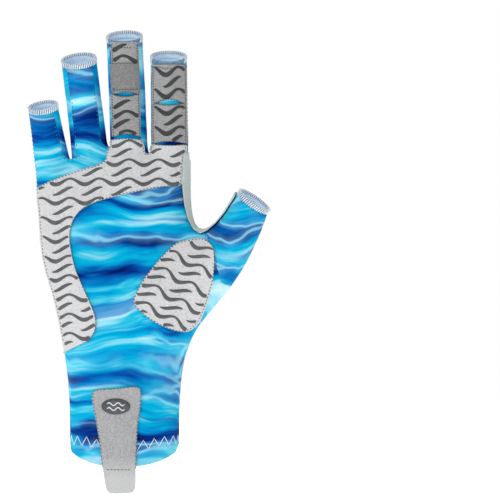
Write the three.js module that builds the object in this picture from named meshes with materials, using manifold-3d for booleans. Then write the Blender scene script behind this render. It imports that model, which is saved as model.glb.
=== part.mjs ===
// A right-hand fingerless fishing glove, held in the form that a hand gives it.
// The palm looks towards -Y, the fingers point up along +Z and the thumb lies towards +X. Millimetres.
// The origin is the middle of the wrist opening, level with the lowest point of the hem.

import * as THREE from 'three';
import { mergeVertices } from 'three/addons/utils/BufferGeometryUtils.js';
import Module from 'manifold-3d';

// Hand form
const bodyHeight = 170; // from the hem up to the roots of the fingers
const palmWidth = 84.6; // across the four finger roots
const palmDepth = 25; // through the hand at the finger roots
const wristWidth = 60;
const wristDepth = 42;
const hemRise = 11; // the hem lies this much higher at its sides than at its front and back
const fingerLength = 64.1; // the middle finger's, from its root to its open end
const fingerGap = 1.1; // between neighbouring fingers at their roots
const fingerRoundness = 0.86; // a finger's depth, as a share of its width
const thumbWidth = 20.2;
const thumbDepth = 18;
const thumbReach = 79.5; // from the wrist's axis out to the thumb's furthest edge

// Cloth and leather
const clothThickness = 1;
const hemHeight = 10; // the cuff's double-turned hem
const leatherThickness = 1;
const layerGap = 0.3; // between a layer and the one that carries it
const seamGap = 0.3; // between two sewn panels
const bindingHeight = 2.5; // the overlocked edge round each open end

// Pull strap, on the front of the cuff
const strapHang = 15; // the length that hangs below the hem

// Badge, on the back of the cuff
const badgeWidth = 47;
const badgeHeight = 25;
const badgeRim = 4;
const badgeLevel = 49.5; // its centre's height above the hem
const badgeOffset = -4.1; // from the wrist's axis to its centre
const badgePlateThickness = 0.8;

// Sections of the body. height is a share of bodyHeight; spread runs from the wrist's width at 0 to the palm's at 1,
// and slim from the wrist's depth to the palm's; shift and lean move the section, as shares of the palm's sizes.
const sections = [
  { height: 0.0, spread: 0.0, shift: -0.004, slim: 0.0, lean: 0.0 },
  { height: 0.2, spread: 0.02, shift: -0.003, slim: 0.06, lean: 0.0 },
  { height: 0.281, spread: 0.11, shift: -0.002, slim: 0.1, lean: 0.0 },
  { height: 0.355, spread: 0.27, shift: 0.002, slim: 0.18, lean: -0.02 },
  { height: 0.409, spread: 0.49, shift: 0.012, slim: 0.22, lean: -0.04 },
  { height: 0.448, spread: 0.67, shift: 0.025, slim: 0.25, lean: -0.06 },
  { height: 0.53, spread: 0.89, shift: 0.022, slim: 0.31, lean: -0.08 },
  { height: 0.649, spread: 1.05, shift: -0.023, slim: 0.45, lean: -0.08 },
  { height: 0.733, spread: 1.05, shift: -0.043, slim: 0.59, lean: -0.04 },
  { height: 0.777, spread: 0.96, shift: -0.062, slim: 0.66, lean: -0.02 },
  { height: 0.843, spread: 0.96, shift: -0.073, slim: 0.76, lean: 0.0 },
  { height: 0.919, spread: 1.0, shift: -0.081, slim: 0.86, lean: 0.03 },
  { height: 1.0, spread: 1.0, shift: -0.083, slim: 1.0, lean: 0.04 },
];

// Rises and hollows of the hand under the cloth. side is -1 on the palm and 1 on the back; x is a share of palmWidth
// from the wrist's axis, z of bodyHeight, reach of palmWidth, and rise, outwards, of palmDepth.
const swellings = [
  { side: -1, x: 0.33, z: 0.56, reach: 0.2, rise: 0.3 }, // ball of the thumb
  { side: -1, x: -0.33, z: 0.55, reach: 0.22, rise: 0.1 }, // heel of the hand
  { side: -1, x: -0.05, z: 0.68, reach: 0.2, rise: -0.12 }, // hollow of the palm
  { side: -1, x: 0.03, z: 0.93, reach: 0.3, rise: 0.05 }, // pads under the fingers
  { side: 1, x: 0.285, z: 0.93, reach: 0.1, rise: 0.07 }, // knuckles, from the index finger's to the little one's
  { side: 1, x: 0.03, z: 0.95, reach: 0.1, rise: 0.08 },
  { side: 1, x: -0.22, z: 0.93, reach: 0.1, rise: 0.07 },
  { side: 1, x: -0.46, z: 0.89, reach: 0.09, rise: 0.05 },
];

// Fingers, from the thumb's side outwards. share is of palmWidth, length of fingerLength and root, the height of the
// crotch on the finger's thumb side, of bodyHeight; lean is away from the thumb, curl towards the palm and turn round
// the finger's own axis, in degrees.
const fingers = [
  { name: 'index', share: 0.259, length: 0.85, root: 1.0, tip: 0.97, lean: 0, curl: 18, turn: -13 },
  { name: 'middle', share: 0.262, length: 1.0, root: 1.0, tip: 0.95, lean: 1.8, curl: 19, turn: -11 },
  { name: 'ring', share: 0.247, length: 0.841, root: 1.019, tip: 0.99, lean: 6, curl: 21, turn: 2 },
  { name: 'little', share: 0.232, length: 0.556, root: 0.9785, tip: 0.9, lean: 8.5, curl: 19, turn: -3 },
];
const outerRoot = 0.93; // the little finger's root on the outer side, as a share of bodyHeight
const rootCurl = 3; // a finger's tilt towards the palm at its root, in degrees
const openEndSlant = 7; // the open end's own slant, the back being longer, in degrees

// Outlines of the leather pieces, as seen from the front: x as a share of palmWidth from the wrist's axis, and z of
// bodyHeight. What an outline takes in beyond a panel's edge is not part of the piece.
const palmPatchOutline = [
  [-0.617, 0.864], [-0.579, 0.881], [-0.49, 0.907], [-0.387, 0.927], [-0.264, 0.948], [-0.161, 0.963],
  [-0.118, 0.979], [-0.11, 1.002], [-0.092, 1.022], [-0.086, 1.043], [-0.044, 1.046], [0.02, 1.049],
  [0.072, 1.047], [0.111, 1.041], [0.122, 1.018], [0.131, 1.0], [0.149, 0.996], [0.168, 1.003],
  [0.175, 1.018], [0.185, 1.032], [0.233, 1.028], [0.31, 1.027], [0.362, 1.029], [0.41, 1.031],
  [0.41, 1.012], [0.376, 0.987], [0.363, 0.899], [0.229, 0.892], [0.075, 0.876], [-0.079, 0.858],
  [-0.181, 0.843], [-0.264, 0.822], [-0.315, 0.794], [-0.34, 0.761], [-0.345, 0.725], [-0.336, 0.691],
  [-0.305, 0.629], [-0.253, 0.568], [-0.202, 0.512], [-0.176, 0.471], [-0.181, 0.435], [-0.222, 0.404],
  [-0.302, 0.383], [-0.398, 0.36], [-0.508, 0.364], [-0.572, 0.53], [-0.63, 0.723],
];
const thenarPatchOutline = [
  [0.411, 0.72], [0.513, 0.724], [0.574, 0.701], [0.584, 0.665], [0.578, 0.616], [0.552, 0.558],
  [0.494, 0.478], [0.452, 0.448], [0.395, 0.431], [0.315, 0.437], [0.206, 0.462], [0.111, 0.497],
  [0.072, 0.524], [0.117, 0.58], [0.185, 0.629], [0.264, 0.676], [0.34, 0.71],
];
const webFrontOutline = [
  [0.381, 0.982], [0.376, 0.94], [0.373, 0.895], [0.388, 0.833], [0.413, 0.787], [0.446, 0.757],
  [0.49, 0.743], [0.534, 0.752], [0.591, 0.776], [0.649, 0.811], [0.696, 0.847], [0.74, 0.88],
  [0.696, 1.012], [0.43, 0.984],
];
const webBackOutline = [
  [0.85, 0.9], [0.833, 0.856], [0.81, 0.802], [0.769, 0.75], [0.728, 0.709], [0.681, 0.677], [0.623, 0.651],
  [0.565, 0.638], [0.506, 0.64], [0.454, 0.651], [0.407, 0.677], [0.39, 0.715], [0.387, 0.756],
  [0.386, 0.816], [0.388, 0.889], [0.388, 0.951], [0.388, 0.982], [0.546, 0.986], [0.729, 0.98],
];
const strapOutline = [
  [-0.195, 0.226], [-0.188, 0.239], [-0.166, 0.244], [-0.044, 0.249], [0.087, 0.254], [0.107, 0.248],
  [0.113, 0.235], [0.109, 0.194], [0.092, 0.132], [0.085, 0.056], [0.082, 0.001], [0.078, -0.067],
  [0.067, -0.078], [0.045, -0.082], [-0.07, -0.084], [-0.092, -0.081], [-0.106, -0.07],
  [-0.13, 0.001], [-0.149, 0.082], [-0.174, 0.158], [-0.192, 0.204],
];

// Leather on the fingers. low and high are the edges' heights above bodyHeight at the finger's middle, as shares of
// fingerLength, and lowBow and highBow are what the edges gain at its sides. Each knuckle's slit is left between two.
const fingerPatches = [
  { name: 'index_tip_patch', f: 0, low: 0.461, lowBow: -0.024, high: 1.06, highBow: 0 },
  { name: 'index_middle_patch', f: 0, low: 0.106, lowBow: -0.013, high: 0.414, highBow: 0.016 },
  { name: 'middle_tip_patch', f: 1, low: 0.522, lowBow: -0.011, high: 1.33, highBow: 0 },
  { name: 'middle_middle_patch', f: 1, low: 0.17, lowBow: -0.019, high: 0.485, highBow: 0.016 },
];
const pullBand = { f: 1, low: 0.541, lowBow: 0, high: 0.764, highBow: 0 };
const patchSides = [[-0.9, 1], [-0.84, 0.62]]; // the index and middle finger's, as shares of the half width

// Mesh lines. The body's stations run from the end of its hem to the finger roots, as shares of that height.
const bodyStations = [0.067, 0.135, 0.2, 0.265, 0.32, 0.37, 0.425, 0.478, 0.53, 0.583, 0.635, 0.687, 0.738, 0.79, 0.845, 0.9, 0.95, 1];
const hemStep = 1.5; // the height over which the double hem thins to single cloth
const thumbHole = { lowRow: 8, highRow: 14, reach: 4 }; // rows and columns that the thumb's root takes
const fingerStations = [0.05, 0.15, 0.3, 0.46, 0.63, 0.82, 1];
const thumbStations = [0.12, 0.26, 0.42, 0.58, 0.74, 0.88, 1];
const evening = { reach: 4, passes: 5 }; // how many steps round the thumb's root, and how often
const cornerStep = 4; // mesh columns on each of a finger's four sides
const ringSize = 4 * cornerStep;
const columns = 2 * cornerStep + 2 * fingers.length * cornerStep;

const degrees = Math.PI / 180;
const vector = (x, y, z) => new THREE.Vector3(x, y, z);
const mix = (a, b, t) => a + (b - a) * t;
const smooth = (low, high, x) => THREE.MathUtils.smoothstep(x, low, high);

// One column of the section table at a height, through its rows without corners.
function section(column, height) {
  const last = sections.length - 1;
  const at = THREE.MathUtils.clamp(height, 0, 1);
  const i = Math.min(last - 1, Math.max(0, sections.findIndex((row) => row.height > at) - 1));
  const row = (k) => sections[THREE.MathUtils.clamp(k, 0, last)];
  const slope = (k) => (row(k + 1)[column] - row(k - 1)[column]) / (row(k + 1).height - row(k - 1).height);
  const from = at >= 1 ? last - 1 : i;
  const step = row(from + 1).height - row(from).height;
  const t = (at - row(from).height) / step;
  const hermite = (a, b, c, d) => a * (2 * t ** 3 - 3 * t ** 2 + 1) + b * (3 * t ** 2 - 2 * t ** 3)
    + c * (t ** 3 - 2 * t ** 2 + t) + d * (t ** 3 - t ** 2);
  return hermite(row(from)[column], row(from + 1)[column], slope(from) * step, slope(from + 1) * step);
}

const widthAt = (height) => mix(wristWidth, palmWidth, section('spread', height));
const depthAt = (height) => mix(wristDepth, palmDepth, section('slim', height));
const middleX = (height) => palmWidth * section('shift', height);
const middleY = (height) => palmDepth * section('lean', height);
const squareness = (height) => mix(2, 2.6, height); // 2 is an ellipse, and more is squarer

// Each finger's place, worked out along the palm from its outer edge.
const palmEdge = middleX(1) - palmWidth / 2;
const shareBefore = (f) => fingers.slice(f + 1).reduce((sum, finger) => sum + finger.share, 0);
const crotchX = (f) => palmEdge + palmWidth * shareBefore(f);
const fingerMiddle = (f) => palmEdge + palmWidth * (shareBefore(f) + fingers[f].share / 2);
const halfWidth = (f) => (palmWidth * fingers[f].share - fingerGap) / 2;
const halfDepth = (f) => halfWidth(f) * fingerRoundness;

// The finger and the place on its ring, 0 to 15 from the thumb's side round by the back, that a body column runs into.
function columnPlace(c) {
  const back = c - cornerStep / 2;
  const front = c - (columns / 2 + cornerStep / 2);
  const last = fingers.length - 1;
  if (back < 0 || front > 4 * cornerStep) return { f: 0, k: (c + ringSize - (c > columns / 2 ? columns : 0)) % ringSize };
  if (back <= 4 * cornerStep) {
    const f = Math.min(last, Math.floor(back / cornerStep));
    return { f, k: cornerStep / 2 + back - cornerStep * f };
  }
  if (front < 0) return { f: last, k: ringSize / 2 + c - columns / 2 };
  const f = last - Math.min(last, Math.floor(front / cornerStep));
  return { f, k: ringSize / 2 + cornerStep / 2 + front - cornerStep * (last - f) };
}

const ringAngle = (k) => (2 * Math.PI * k) / ringSize;

// The body's topmost ring: each finger's oval, drawn out at its sides to meet its neighbours' along the crotches.
function rootPoint(c) {
  const { f, k } = columnPlace(c);
  const angle = ringAngle(k);
  const cos = Math.cos(angle);
  const corner = Math.cos(Math.PI / 4);
  const outer = (f === 0 && cos > 0) || (f === fingers.length - 1 && cos < 0);
  const side = cos > 0 ? crotchX(f - 1) - fingerMiddle(f) : fingerMiddle(f) - crotchX(f);
  const x = outer ? halfWidth(f) * cos : (side * cos) / corner;
  const rise = mix(fingers[f].root, f === fingers.length - 1 ? outerRoot : fingers[f + 1].root, 0.5 - (cos / corner) / 2);
  const held = THREE.MathUtils.clamp(0.5 - (cos / corner) / 2, 0, 1);
  const level = mix(fingers[f].root, f === fingers.length - 1 ? outerRoot : fingers[f + 1].root, held);
  return vector(fingerMiddle(f) + x, middleY(1) + halfDepth(f) * Math.sin(angle), bodyHeight * (outer ? level : rise));
}

// How far a column lies from the middle, as a share of the body's half width, and on which side of the hand.
function columnShare(c) {
  const root = rootPoint(c);
  const { k } = columnPlace(c);
  return { across: THREE.MathUtils.clamp((root.x - middleX(1)) / (palmWidth / 2), -1, 1), through: Math.sin(ringAngle(k)) };
}

function bodyPoint(c, share) {
  const root = rootPoint(c);
  const { across, through } = columnShare(c);
  const onSide = Math.abs(across) > 0.95;
  const oval = onSide ? Math.abs(through) : Math.sqrt(1 - across ** 2);
  const z = mix(hemRise * (1 - oval), root.z, share);
  const height = Math.min(1, z / bodyHeight);
  const n = squareness(height);
  const y = onSide ? through * 0.8 : Math.sign(through) * (1 - Math.abs(across) ** n) ** (1 / n);
  const x = onSide ? Math.sign(across) * (1 - Math.abs(y) ** n) ** (1 / n) : across;
  const point = vector(middleX(height) + (x * widthAt(height)) / 2, middleY(height) + (y * depthAt(height)) / 2, z);
  for (const { side, x: sx, z: sz, reach, rise } of swellings) {
    if (side * y <= 0) continue;
    const away = Math.hypot(point.x - sx * palmWidth, point.z - sz * bodyHeight) / (reach * palmWidth);
    point.y += side * rise * palmDepth * Math.exp(-(away ** 2)) * Math.min(1, 2 * Math.abs(y));
  }
  return point.lerp(root, smooth(0.86, 1, share));
}

// The worn surface: shared points, and quads that say which part of the glove they belong to.
const points = [];
const quads = [];

function addPoint(point) {
  points.push(point);
  return points.length - 1;
}

function addQuad(corners, place) {
  quads.push({ corners, ...place });
}

// Rows of body points. Row 0 is the hem's edge; row 1 is its top and row 2 is where the cloth is single again.
const bodyShares = [0, hemHeight / bodyHeight, (hemHeight + hemStep) / bodyHeight,
  ...bodyStations.slice(1)];
const body = bodyShares.map((share) =>
  Array.from({ length: columns }, (_, c) => addPoint(bodyPoint(c, share))));
const topRow = body.length - 1;
const lowHole = thumbHole.lowRow;
const highHole = thumbHole.highRow;
const inHole = (c, j) => j >= lowHole && j < highHole && (c < thumbHole.reach || c >= columns - thumbHole.reach);

for (let j = 0; j < topRow; j++) {
  for (let c = 0; c < columns; c++) {
    if (inHole(c, j)) continue;
    const next = (c + 1) % columns;
    addQuad([body[j][c], body[j][next], body[j + 1][next], body[j + 1][c]], { part: 'body', c, j });
  }
}

// A skirt of points below the hem, which only the hanging strap follows.
const skirtRows = 3;
const skirt = [body[0]];
for (let r = 1; r <= skirtRows; r++) {
  const drop = (r * (strapHang + hemRise)) / skirtRows;
  skirt.push(body[0].map((id) => addPoint(points[id].clone().setZ(points[id].z - drop))));
  for (let c = 0; c < columns; c++) {
    const next = (c + 1) % columns;
    addQuad([skirt[r][c], skirt[r][next], skirt[r - 1][next], skirt[r - 1][c]], { part: 'skirt', c, j: -r });
  }
}

// The line across each crotch, from the palm's side to the back, as points that two fingers share.
const web = fingers.slice(1).map((finger, i) => {
  const crotch = cornerStep * (i + 1);
  const front = points[body[topRow][columns - cornerStep / 2 - crotch]];
  const back = points[body[topRow][cornerStep / 2 + crotch]];
  return [1, 2, 3].map((w) => addPoint(front.clone().lerp(back, w / cornerStep)));
});

function rootRing(f) {
  const last = fingers.length - 1;
  return Array.from({ length: ringSize }, (_, k) => {
    if (k >= 2 && k <= 6) return body[topRow][cornerStep * f + k];
    if (k >= 10 && k <= 14) return body[topRow][columns / 2 + 2 + cornerStep * (last - f) + k - 10];
    if (k >= 7) {
      if (k < 10) return f === last ? body[topRow][columns / 2 + k - 8] : web[f][9 - k];
      return f === 0 ? body[topRow][columns - 1] : web[f - 1][0];
    }
    return f === 0 ? body[topRow][k] : web[f - 1][k + 1];
  });
}

// Lofts rings of new points onto a first ring, and returns all the rings.
function loft(first, rings, place) {
  const all = [first];
  rings.forEach((ring, r) => {
    all.push(ring.map(addPoint));
    for (let k = 0; k < first.length; k++) {
      const next = (k + 1) % first.length;
      addQuad([all[r][k], all[r][next], all[r + 1][next], all[r + 1][k]], { ...place, k, r });
    }
  });
  return all;
}

// The seam gap and the overlocked binding that follow an open end, along its direction.
function finishEnd(rings, direction, name) {
  const lift = (ring, by) => ring.map((id) => points[id].clone().addScaledVector(direction, by));
  const end = rings[rings.length - 1];
  const above = loft(end, [lift(end, layerGap)], { part: 'gap', name })[1];
  loft(above, [lift(above, bindingHeight)], { part: 'binding', name });
}

fingers.forEach((finger, f) => {
  const root = rootRing(f);
  const low = root.reduce((sum, id) => sum + points[id].z, 0) / ringSize;
  const length = fingerLength * finger.length - bindingHeight - layerGap;
  const centre = vector(fingerMiddle(f), middleY(1), low);
  let from = 0;
  let direction;
  const rings = fingerStations.map((station) => {
    const curl = mix(rootCurl, finger.curl, station) * degrees;
    const lean = finger.lean * degrees;
    direction = vector(-Math.sin(lean) * Math.cos(curl), -Math.sin(curl), Math.cos(lean) * Math.cos(curl));
    centre.addScaledVector(direction, (station - from) * length);
    from = station;
    const across = vector(Math.cos(lean), 0, Math.sin(lean));
    const slant = openEndSlant * degrees * smooth(0.6, 1, station);
    const through = direction.clone().cross(across)
      .multiplyScalar(Math.cos(slant)).addScaledVector(direction, Math.sin(slant));
    const size = mix(1, finger.tip, station);
    const turn = finger.turn * degrees * smooth(0, 0.5, station);
    return Array.from({ length: ringSize }, (_, k) => {
      const rootSlant = (points[root[k]].z - low) * (1 - station) ** 2;
      return centre.clone()
        .addScaledVector(across, halfWidth(f) * size * Math.cos(ringAngle(k) + turn))
        .addScaledVector(through, halfDepth(f) * size * Math.sin(ringAngle(k) + turn))
        .add(vector(0, 0, rootSlant));
    });
  });
  finishEnd(loft(root, rings, { part: 'finger', f }), direction, finger.name);
});

// The thumb grows out of a loop of body points, through a wide ring at its ball, to an oval at its open end.
const thumbLoop = [
  ...body.slice(lowHole, highHole).map((row) => row[thumbHole.reach]),
  ...Array.from({ length: 2 * thumbHole.reach }, (_, i) => body[highHole][(columns + thumbHole.reach - i) % columns]),
  ...body.slice(lowHole + 1, highHole + 1).map((row) => row[columns - thumbHole.reach]).reverse(),
  ...Array.from({ length: 2 * thumbHole.reach }, (_, i) => body[lowHole][(columns - thumbHole.reach + i) % columns]),
];
const thumbAxis = vector(0.55, -0.26, 0.79).normalize();
const thumbUp = vector(-0.82, 0, 0.57).normalize();
const thumbOut = thumbUp.clone().cross(thumbAxis).normalize(); // towards the back of the hand
const thumbEnd = vector(thumbReach - (thumbWidth / 2) * -thumbUp.x, -palmDepth * 0.52, bodyHeight * 0.85);
const ballUp = vector(-0.6, 0, 0.8);
const ballOut = vector(0.12, 1, 0).normalize();
const ball = { x: thumbReach * 0.712, y: -palmDepth * 0.34, z: bodyHeight * 0.648, tall: thumbWidth * 0.74, deep: thumbDepth * 0.76 };
const loopStart = -(highHole - lowHole) / thumbLoop.length / 2;
const loopAngle = (i) => 2 * Math.PI * (i / thumbLoop.length + loopStart);

const thumbRings = thumbStations.map((t) => thumbLoop.map((id, i) => {
  const cos = Math.cos(loopAngle(i));
  const sin = Math.sin(loopAngle(i));
  const middle = vector(ball.x, ball.y, ball.z)
    .addScaledVector(ballOut, ball.deep * cos).addScaledVector(ballUp, ball.tall * sin);
  const end = thumbEnd.clone().addScaledVector(thumbAxis, -bindingHeight)
    .addScaledVector(thumbOut, (thumbDepth / 2) * cos).addScaledVector(thumbUp, (thumbWidth / 2) * sin);
  return points[id].clone().multiplyScalar((1 - t) ** 2)
    .addScaledVector(middle, 2 * t * (1 - t)).addScaledVector(end, t ** 2);
}));
finishEnd(loft(thumbLoop, thumbRings, { part: 'thumb' }), thumbAxis, 'thumb');

const edgeKey = (a, b) => `${Math.min(a, b)}_${Math.max(a, b)}`;
const edgesOf = ({ corners }) => corners.map((id, i) => [id, corners[(i + 1) % 4]]);

// The thumb's root is evened out, so that it flows into the palm and into the back of the hand.
const neighbours = points.map(() => new Set());
for (const quad of quads) {
  for (const [a, b] of edgesOf(quad)) {
    neighbours[a].add(b);
    neighbours[b].add(a);
  }
}
const reached = new Map(thumbLoop.map((id) => [id, 0])); // steps from the thumb's root to a point near it
for (const [id, steps] of reached) {
  if (steps + 1 >= evening.reach) continue;
  for (const next of neighbours[id]) if (!reached.has(next)) reached.set(next, steps + 1);
}
for (let pass = 0; pass < evening.passes; pass++) {
  for (const [id, steps] of reached) {
    const around = [...neighbours[id]];
    const middle = around.reduce((sum, next) => sum.add(points[next]), vector(0, 0, 0)).divideScalar(around.length);
    points[id].lerp(middle, 0.6 * (1 - steps / evening.reach));
  }
}

// Each point's outward direction, from the quads round it.
const normals = points.map(() => vector(0, 0, 0));
for (const { corners } of quads) {
  const [a, b, c, d] = corners.map((id) => points[id]);
  const face = c.clone().sub(a).cross(d.clone().sub(b)).normalize();
  corners.forEach((id) => normals[id].add(face));
}
normals.forEach((normal) => normal.normalize());

const sewnEdges = new Map(); // how many quads of the glove meet at an edge
for (const quad of quads.filter(({ part }) => part === 'body' || part === 'finger' || part === 'thumb')) {
  for (const [a, b] of edgesOf(quad)) sewnEdges.set(edgeKey(a, b), (sewnEdges.get(edgeKey(a, b)) || 0) + 1);
}

// Half a seam's gap for each point on a sewn edge of a panel, pointing into the panel.
function seamShifts(panel, edgeCount) {
  const found = new Map();
  for (const quad of panel) {
    const centre = quad.corners.reduce((sum, id) => sum.add(points[id]), vector(0, 0, 0)).multiplyScalar(0.25);
    for (const [a, b] of edgesOf(quad)) {
      const key = edgeKey(a, b);
      if (edgeCount.get(key) > 1 || (sewnEdges.get(key) || 0) < 2) continue;
      const along = points[b].clone().sub(points[a]).normalize();
      const inward = centre.clone().sub(points[a]);
      inward.addScaledVector(along, -inward.dot(along)).normalize();
      [[a, along], [b, along.clone().negate()]].forEach(([id, away]) => {
        found.set(id, [...(found.get(id) || []), { inward, away }]);
      });
    }
  }
  const shifts = new Map();
  for (const [id, sides] of found) {
    const [one, two] = sides.length > 1 ? sides : [sides[0], sides[0]];
    const facing = one.inward.dot(two.inward);
    const shift = facing < -0.5
      ? one.away.clone().add(two.away).normalize().multiplyScalar(-1.5)
      : one.inward.clone().add(two.inward).divideScalar(1 + facing);
    shifts.set(id, shift.multiplyScalar(seamGap / 2));
  }
  return shifts;
}

// A closed solid from quads of the worn surface, between two depths measured outwards from it.
function thicken(panel, low, high, sewn = true) {
  const edgeCount = new Map();
  for (const quad of panel) {
    for (const [a, b] of edgesOf(quad)) edgeCount.set(edgeKey(a, b), (edgeCount.get(edgeKey(a, b)) || 0) + 1);
  }
  const shifts = sewn ? seamShifts(panel, edgeCount) : new Map();
  const depthOf = (depth, id) => (typeof depth === 'function' ? depth(id) : depth);
  const at = (id, depth) => points[id].clone().addScaledVector(normals[id], depthOf(depth, id))
    .add(shifts.get(id) || vector(0, 0, 0));
  const triangles = [];
  for (const quad of panel) {
    const top = quad.corners.map((id) => at(id, high));
    const base = quad.corners.map((id) => at(id, low));
    triangles.push(top[0], top[1], top[2], top[0], top[2], top[3]);
    triangles.push(base[0], base[2], base[1], base[0], base[3], base[2]);
    for (const [a, b] of edgesOf(quad)) {
      if (edgeCount.get(edgeKey(a, b)) > 1) continue;
      triangles.push(at(a, low), at(b, low), at(b, high), at(a, low), at(b, high), at(a, high));
    }
  }
  return new THREE.BufferGeometry().setFromPoints(triangles);
}

const wasm = await Module();
wasm.setup();
const sliver = 0.01; // faces thinner than this, left over by a cut, are merged away

function toSolid(geometry) {
  const bare = (geometry.index ? geometry.toNonIndexed() : geometry.clone());
  bare.deleteAttribute('normal');
  bare.deleteAttribute('uv');
  const merged = mergeVertices(bare, 1e-4);
  return new wasm.Manifold(new wasm.Mesh({
    numProp: 3,
    vertProperties: merged.attributes.position.array,
    triVerts: new Uint32Array(merged.index.array),
  }));
}

function toGeometry(solid) {
  const mesh = solid.simplify(sliver).getMesh();
  const geometry = new THREE.BufferGeometry();
  geometry.setAttribute('position', new THREE.BufferAttribute(mesh.vertProperties, 3));
  geometry.setIndex(new THREE.BufferAttribute(mesh.triVerts, 1));
  return geometry;
}

// A column through the hand, from y = near to y = far, over an outline drawn in x and z.
function throughOutline(outline, near, far) {
  const shape = new THREE.Shape(outline.map(([x, z]) => new THREE.Vector2(x, z)));
  const column = new THREE.ExtrudeGeometry(shape, { depth: far - near, bevelEnabled: false, curveSegments: 12 });
  return toSolid(column.rotateX(Math.PI / 2).translate(0, far, 0));
}

// A smooth closed outline through a few points.
function roundOutline(anchors, steps = 3) {
  const curve = new THREE.CatmullRomCurve3(anchors.map(([x, z]) => vector(x, 0, z)), true, 'centripetal');
  return curve.getPoints(anchors.length * steps).slice(0, -1).map(({ x, z }) => [x, z]);
}

// A layer cut to an outline, lying on the given quads of the worn surface.
function layer(panel, depth, thickness, column) {
  const sheet = toSolid(thicken(panel, depth, depth + thickness, false));
  return toGeometry(sheet.intersect(column));
}

// Materials
const cloth = { color: 0x1a86d8, roughness: 0.75, metalness: 0 };
const leather = { color: 0xd2d0cd, roughness: 0.85, metalness: 0 };
const thread = { color: 0xe6e9ee, roughness: 0.8, metalness: 0 };
const navyRubber = { color: 0x0a1a5c, roughness: 0.4, metalness: 0 };

const glove = new THREE.Group();

function addPiece(name, geometry, look) {
  const mesh = new THREE.Mesh(geometry, new THREE.MeshStandardMaterial(look));
  mesh.name = name;
  glove.add(mesh);
}

// Cloth panels. On the fingers the palm panel ends at the corners, where the side strips begin.
const onBack = (k) => k >= 2 && k < 6;
const onOuterSide = (k) => k >= 6 && k < 10;
const onFront = (k) => k >= 10 && k < 14;
const last = fingers.length - 1;
const sewnToThumb = 3; // rows of the thumb that the palm and back panels still cover
const loopBack = (k) => loopAngle(k + 0.5) < Math.PI / 2 || loopAngle(k + 0.5) > 1.5 * Math.PI;

function panelOf(quad) {
  if (quad.part === 'body') return quad.c < columns / 2 ? 'back_panel' : 'palm_panel';
  if (quad.part === 'thumb') {
    if (quad.r >= sewnToThumb) return 'thumb_sleeve';
    return loopBack(quad.k) ? 'back_panel' : 'palm_panel';
  }
  if (quad.part !== 'finger') return null;
  const { f, k } = quad;
  if (onBack(k)) return 'back_panel';
  if (onFront(k)) return 'palm_panel';
  if (f === 0 && !onOuterSide(k)) return k >= 14 ? 'palm_panel' : 'back_panel';
  if (f === last && onOuterSide(k)) return k >= 8 ? 'palm_panel' : 'back_panel';
  const strip = onOuterSide(k) ? f : f - 1;
  return `${fingers[strip].name}_${fingers[strip + 1].name}_side_strip`;
}

const hemPoints = new Set([...body[0], ...body[1]]);
const clothDepth = (id) => -clothThickness * (hemPoints.has(id) ? 2 : 1);
const panels = Map.groupBy(quads, panelOf);
panels.delete(null);
for (const [name, panel] of panels) addPiece(name, thicken(panel, clothDepth, 0), cloth);

for (const name of ['thumb', ...fingers.map((finger) => finger.name)]) {
  const ring = quads.filter((quad) => quad.part === 'binding' && quad.name === name);
  addPiece(`${name}_edge_binding`, thicken(ring, -clothThickness - 0.5, 0), thread);
}

const onPalm = (quad) => panelOf(quad) === 'palm_panel';
const inShares = (outline) => outline.map(([x, z]) => [x * palmWidth, z * bodyHeight]);

// A finger patch's outline, which follows the finger's lean.
function fingerOutline({ f, low, lowBow, high, highBow }, steps = 8) {
  const across = Array.from({ length: steps + 1 }, (_, i) => (2 * i) / steps - 1);
  const [left, right] = patchSides[f];
  const x = (t, level) => fingerMiddle(f) - Math.tan(fingers[f].lean * degrees) * level * fingerLength
    + halfWidth(f) * mix(left, right, (t + 1) / 2);
  const edge = (level, bow) => across.map((t) => [x(t, level), bodyHeight + (level + bow * t ** 2) * fingerLength]);
  return [...edge(low, lowBow), ...edge(high, highBow).reverse()];
}

const bodyFront = quads.filter((quad) => quad.part === 'body' && onPalm(quad));
const fingerFront = (f) => quads.filter((quad) => quad.part === 'finger' && quad.f === f && onPalm(quad)
  && quad.k < ringSize - 1);
const palmQuads = [...bodyFront, ...fingerFront(0), ...fingerFront(1)];
const wholeDepth = (outline) => throughOutline(outline, -2 * wristDepth, 2 * wristDepth);

addPiece('palm_patch', layer(palmQuads, layerGap, leatherThickness, wholeDepth(inShares(palmPatchOutline))), leather);
const thenarQuads = quads.filter((quad) => (quad.part === 'thumb' ? !loopBack(quad.k) : quad.part === 'body' && onPalm(quad)));
const thenarShape = throughOutline(roundOutline(inShares(thenarPatchOutline), 2), -2 * wristDepth, -0.28 * palmDepth);
addPiece('thenar_patch', layer(thenarQuads, layerGap, leatherThickness, thenarShape), leather);
for (const patch of fingerPatches) {
  const column = wholeDepth(fingerOutline(patch));
  addPiece(patch.name, layer(fingerFront(patch.f), layerGap, leatherThickness, column), leather);
}
const bandDepth = 2 * layerGap + leatherThickness;
const bandShape = wholeDepth(fingerOutline(pullBand));
addPiece('middle_pull_band', layer(fingerFront(1), bandDepth, leatherThickness, bandShape), leather);

// The web patch wraps over the edge of the hand, so its back and its front are cut apart and then joined.
const besideThumb = (quad) => quad.part === 'thumb' || (quad.part === 'body'
  && (quad.c < 2 * thumbHole.reach || quad.c >= columns - 2 * thumbHole.reach));
const facesBack = (quad) => (quad.part === 'body' ? quad.c < columns / 2 : loopBack(quad.k));
const webPart = (outline, wanted) => {
  const panel = quads.filter((quad) => besideThumb(quad) && facesBack(quad) === wanted);
  return toSolid(thicken(panel, layerGap, layerGap + leatherThickness, false)).intersect(wholeDepth(inShares(outline)));
};
addPiece('thumb_web_patch', toGeometry(webPart(webBackOutline, true).add(webPart(webFrontOutline, false))), leather);

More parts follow.
